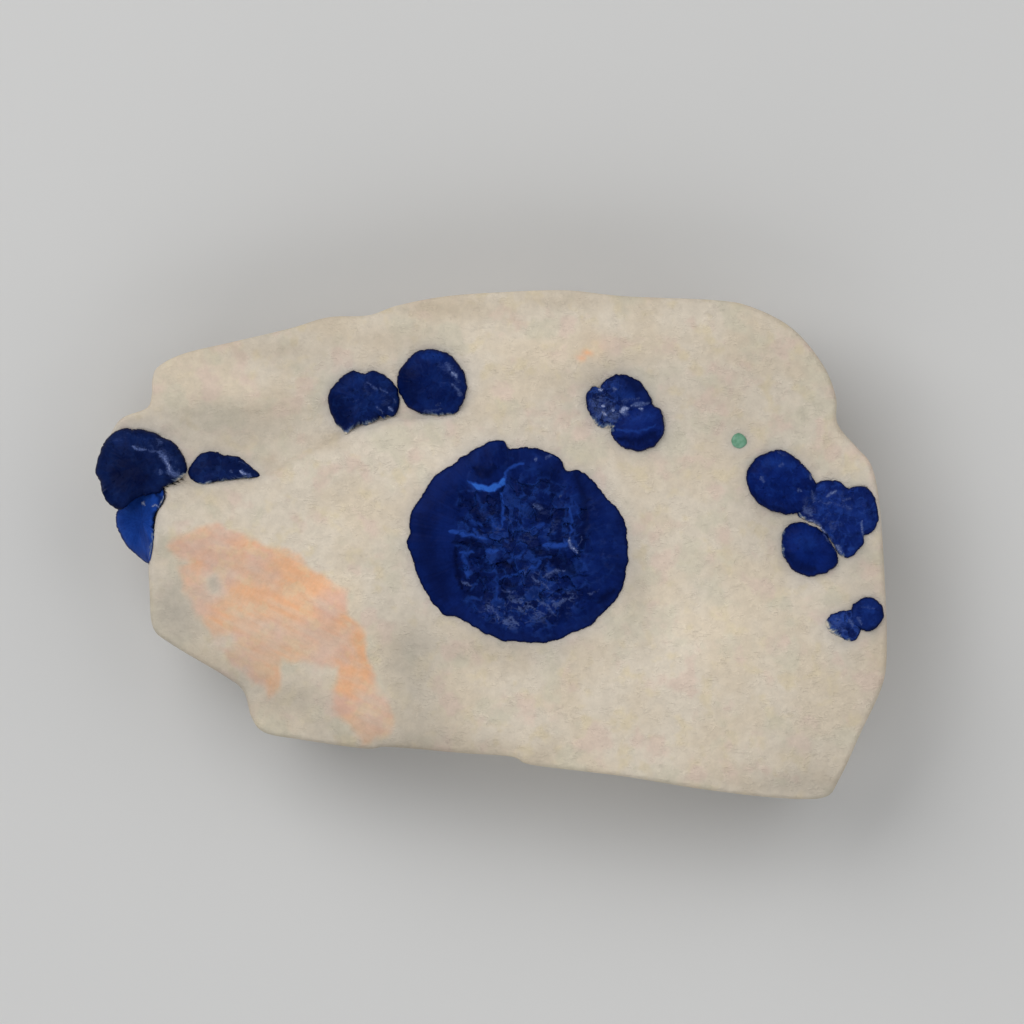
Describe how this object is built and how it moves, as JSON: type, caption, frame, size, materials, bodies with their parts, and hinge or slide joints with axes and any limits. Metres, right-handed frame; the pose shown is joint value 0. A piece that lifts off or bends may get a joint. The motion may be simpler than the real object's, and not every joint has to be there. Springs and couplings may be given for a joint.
{
  "type": "azurite specimen",
  "caption": "Hand-sized slab of cream kaolin claystone with flat radial suns of deep blue azurite set in its face and edge, and a small bead of green malachite",
  "frame": {"origin": "middle of the specimen's box in X and Y, on the flat underside that it rests on", "axes": "+X along the slab's length, towards the pair of small suns; +Y across it; +Z out of the show face"},
  "size_m": [0.1308, 0.0842, 0.0269],
  "materials": {
    "kaolin": "matte",
    "azurite": "satin",
    "malachite": "matte"
  },
  "bodies": {
    "root": {"kaolin_slab": "kaolin", "central_sun": "azurite", "upper_left_sun": "azurite", "upper_middle_sun": "azurite", "edge_suns": "azurite", "lens_sun": "azurite", "upper_right_suns": "azurite", "right_suns": "azurite", "right_lower_sun": "azurite", "small_right_suns": "azurite", "malachite_bead": "malachite"}
  },
  "joints": []
}
